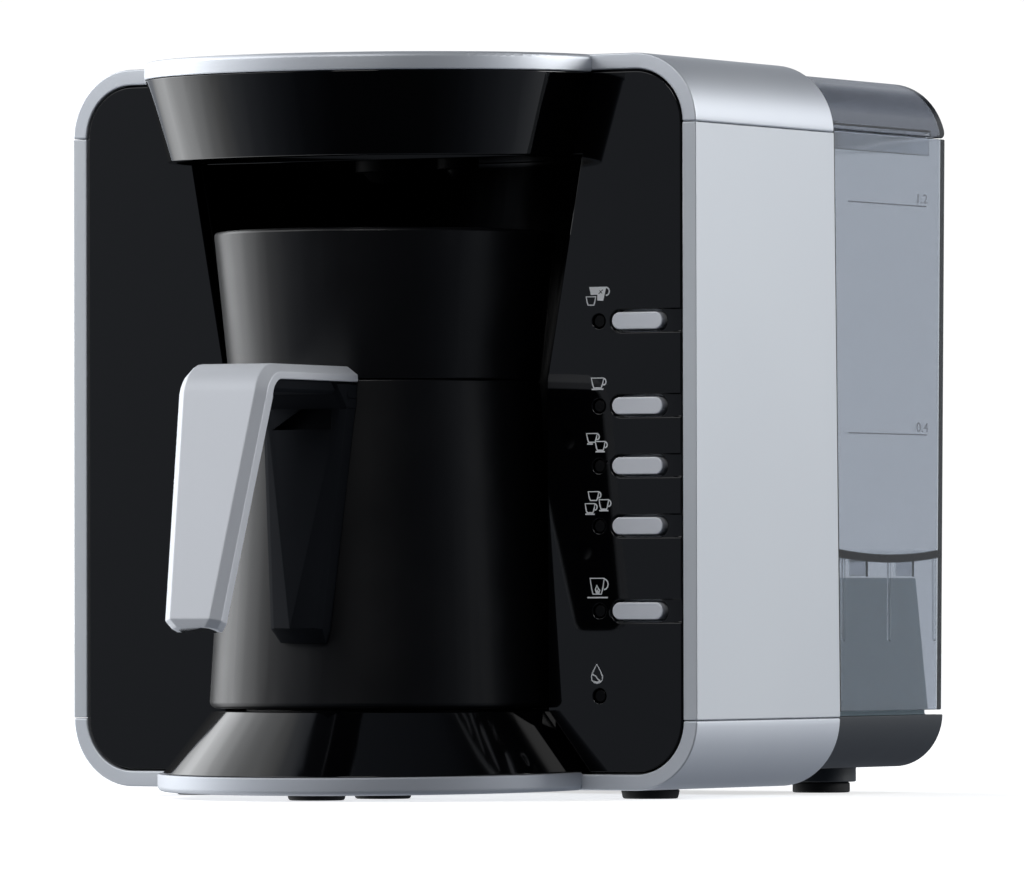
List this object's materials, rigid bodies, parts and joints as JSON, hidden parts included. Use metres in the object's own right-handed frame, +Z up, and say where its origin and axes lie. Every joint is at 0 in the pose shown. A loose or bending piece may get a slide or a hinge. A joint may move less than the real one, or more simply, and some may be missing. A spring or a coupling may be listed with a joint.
{
  "type": "electric turkish coffee maker",
  "caption": "Rounded-square automatic Turkish coffee maker with a gloss fascia, a pull-out lidless jug on a heated plinth, push buttons, and a lift-off clear water tank with hinged lid behind.",
  "frame": {"origin": "on the surface that the machine stands on, under the middle of its overall box", "axes": "X across the front, +Y from the front to the water tank, +Z up"},
  "size_m": [0.21, 0.2722, 0.2127],
  "materials": {
    "silver_lacquer": "satin silver lacquer",
    "pale_side": "fine matt pale silver",
    "black_gloss": "mirror gloss",
    "black_satin": "satin",
    "heater_metal": "dark non-stick coat",
    "element_sheath": "heat-tinted",
    "sensor_metal": "satin",
    "dark_grey": "fine matt",
    "pump_housing": "satin",
    "silicone_hose": "satin",
    "circuit_board": "solder mask",
    "lamp_lens": "smoked",
    "screw_steel": "zinc plated",
    "black_rubber": "matt",
    "tank_clear": "smoky clear",
    "white_plastic": "matt",
    "lid_smoked": "smoked clear",
    "jug_black": "fine satin",
    "pot_steel": "brushed",
    "handle_black": "satin",
    "handle_silver": "satin silver lacquer",
    "button_silver": "satin silver"
  },
  "bodies": {
    "housing": {"top_shell": "silver_lacquer", "bottom_shell": "silver_lacquer", "right_side_panel": "pale_side", "left_side_panel": "pale_side", "front_panel": "black_gloss", "bay_liner": "black_satin", "canopy_shield": "black_gloss", "canopy_trim": "silver_lacquer", "plinth_shield": "black_gloss", "plinth_trim": "silver_lacquer", "heater_plate": "heater_metal", "heating_element": "element_sheath", "temperature_sensor": "sensor_metal", "water_spout": "black_satin", "foam_sensor": "sensor_metal", "rear_bulkhead": "dark_grey", "rear_base": "dark_grey", "water_pump": "pump_housing", "suction_hose": "silicone_hose", "delivery_hose": "silicone_hose", "power_board": "circuit_board", "button_board": "circuit_board", "lamp_lenses": "lamp_lens", "case_screws": "screw_steel", "board_screws": "screw_steel", "cord_gland": "black_rubber", "tank_seal": "black_rubber", "housing_feet": "black_rubber", "rear_feet": "black_rubber"},
    "large_cup_button": {"large_cup_button": "button_silver"},
    "one_cup_button": {"one_cup_button": "button_silver"},
    "two_cup_button": {"two_cup_button": "button_silver"},
    "three_cup_button": {"three_cup_button": "button_silver"},
    "slow_brew_button": {"slow_brew_button": "button_silver"},
    "tank": {"water_tank": "tank_clear", "tank_valve_guide": "white_plastic", "lid_hinge_pins": "screw_steel"},
    "lid": {"tank_lid": "lid_smoked"},
    "valve": {"tank_valve": "white_plastic"},
    "jug": {"jug_body": "jug_black", "jug_funnel": "jug_black", "jug_pot": "pot_steel", "jug_base": "jug_black", "handle_core": "handle_black", "handle_skin": "handle_silver", "handle_screws": "screw_steel"}
  },
  "joints": [
    {"name": "large_cup_press", "type": "slide", "parent": "housing", "child": "large_cup_button", "axis": [0, 1, 0], "range_m": [0, 0.0012], "stiffness_N_per_m": 600, "springref_m": -0.0006},
    {"name": "one_cup_press", "type": "slide", "parent": "housing", "child": "one_cup_button", "axis": [0, 1, 0], "range_m": [0, 0.0012], "stiffness_N_per_m": 600, "springref_m": -0.0006},
    {"name": "two_cup_press", "type": "slide", "parent": "housing", "child": "two_cup_button", "axis": [0, 1, 0], "range_m": [0, 0.0012], "stiffness_N_per_m": 600, "springref_m": -0.0006},
    {"name": "three_cup_press", "type": "slide", "parent": "housing", "child": "three_cup_button", "axis": [0, 1, 0], "range_m": [0, 0.0012], "stiffness_N_per_m": 600, "springref_m": -0.0006},
    {"name": "slow_brew_press", "type": "slide", "parent": "housing", "child": "slow_brew_button", "axis": [0, 1, 0], "range_m": [0, 0.0012], "stiffness_N_per_m": 600, "springref_m": -0.0006},
    {"name": "tank_lift", "type": "slide", "parent": "housing", "child": "tank", "axis": [0, 0, 1], "range_m": [0, 0.2]},
    {"name": "lid_hinge", "type": "hinge", "parent": "tank", "child": "lid", "pos_m": [0, 0.13228, 0.1963], "axis": [-1, 0, 0], "range_deg": [0, 88]},
    {"name": "valve_lift", "type": "slide", "parent": "tank", "child": "valve", "axis": [0, 0, 1], "range_m": [0, 0.003], "stiffness_N_per_m": 120, "springref_m": -0.003},
    {"name": "jug_pull", "type": "slide", "parent": "housing", "child": "jug", "axis": [0, -1, 0], "range_m": [0, 0.135]}
  ]
}
